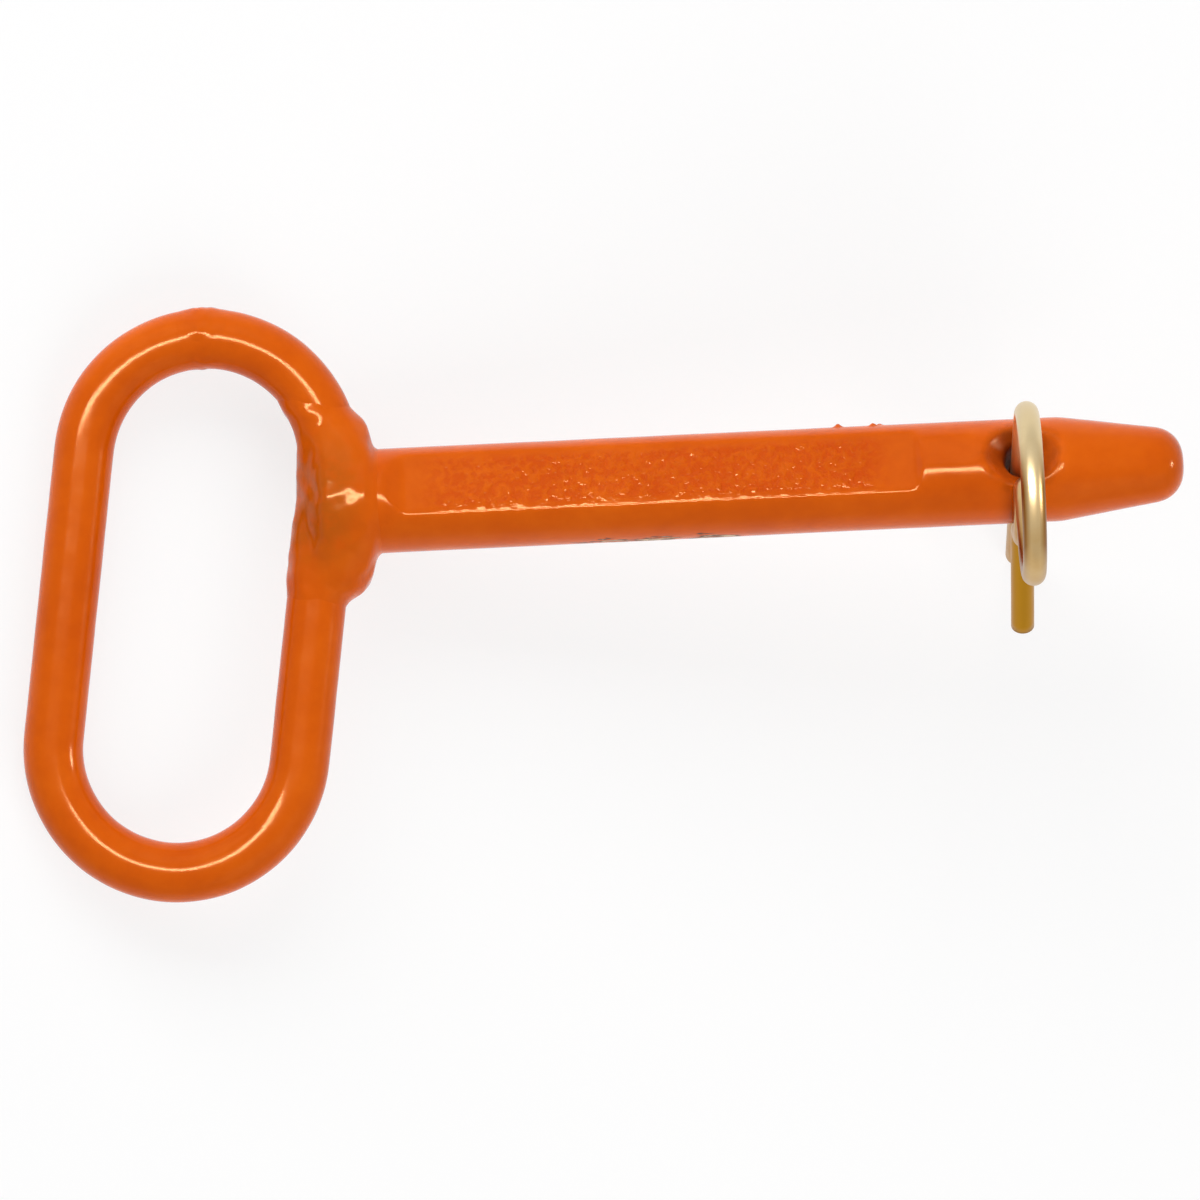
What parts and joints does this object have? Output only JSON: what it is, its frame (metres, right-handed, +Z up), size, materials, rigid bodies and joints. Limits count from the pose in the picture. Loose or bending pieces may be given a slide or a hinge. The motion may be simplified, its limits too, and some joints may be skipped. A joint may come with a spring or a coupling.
{
  "type": "hitch pin",
  "caption": "Round hitch pin with a tapered nose, welded to a fixed loop handle and held by a hairpin cotter clip.",
  "frame": {"origin": "centre of the footprint's box, on the surface that the part lies on", "axes": "+X across the handle towards the pin's nose, +Y along the handle's long side, +Z up"},
  "size_m": [0.234, 0.1266, 0.1018],
  "materials": {
    "pin_enamel": "glossy orange enamel, dipped or sprayed thick over bar steel, with chips and small nibs",
    "weld_enamel": "the same orange enamel, pooled over weld beads",
    "zinc_wire": "drawn spring wire, zinc plated and yellow passivated, satin to bright"
  },
  "bodies": {
    "pin": {"shank": "pin_enamel", "handle_loop": "pin_enamel", "handle_weld": "weld_enamel", "loop_seam_weld": "weld_enamel"},
    "clip": {"hairpin_clip": "zinc_wire"}
  },
  "joints": [
    {"name": "clip_pull", "type": "slide", "parent": "pin", "child": "clip", "axis": [-0.236, 0.3381, 0.911], "range_m": [0, 0.075], "deforming": ["hairpin_clip"]}
  ]
}
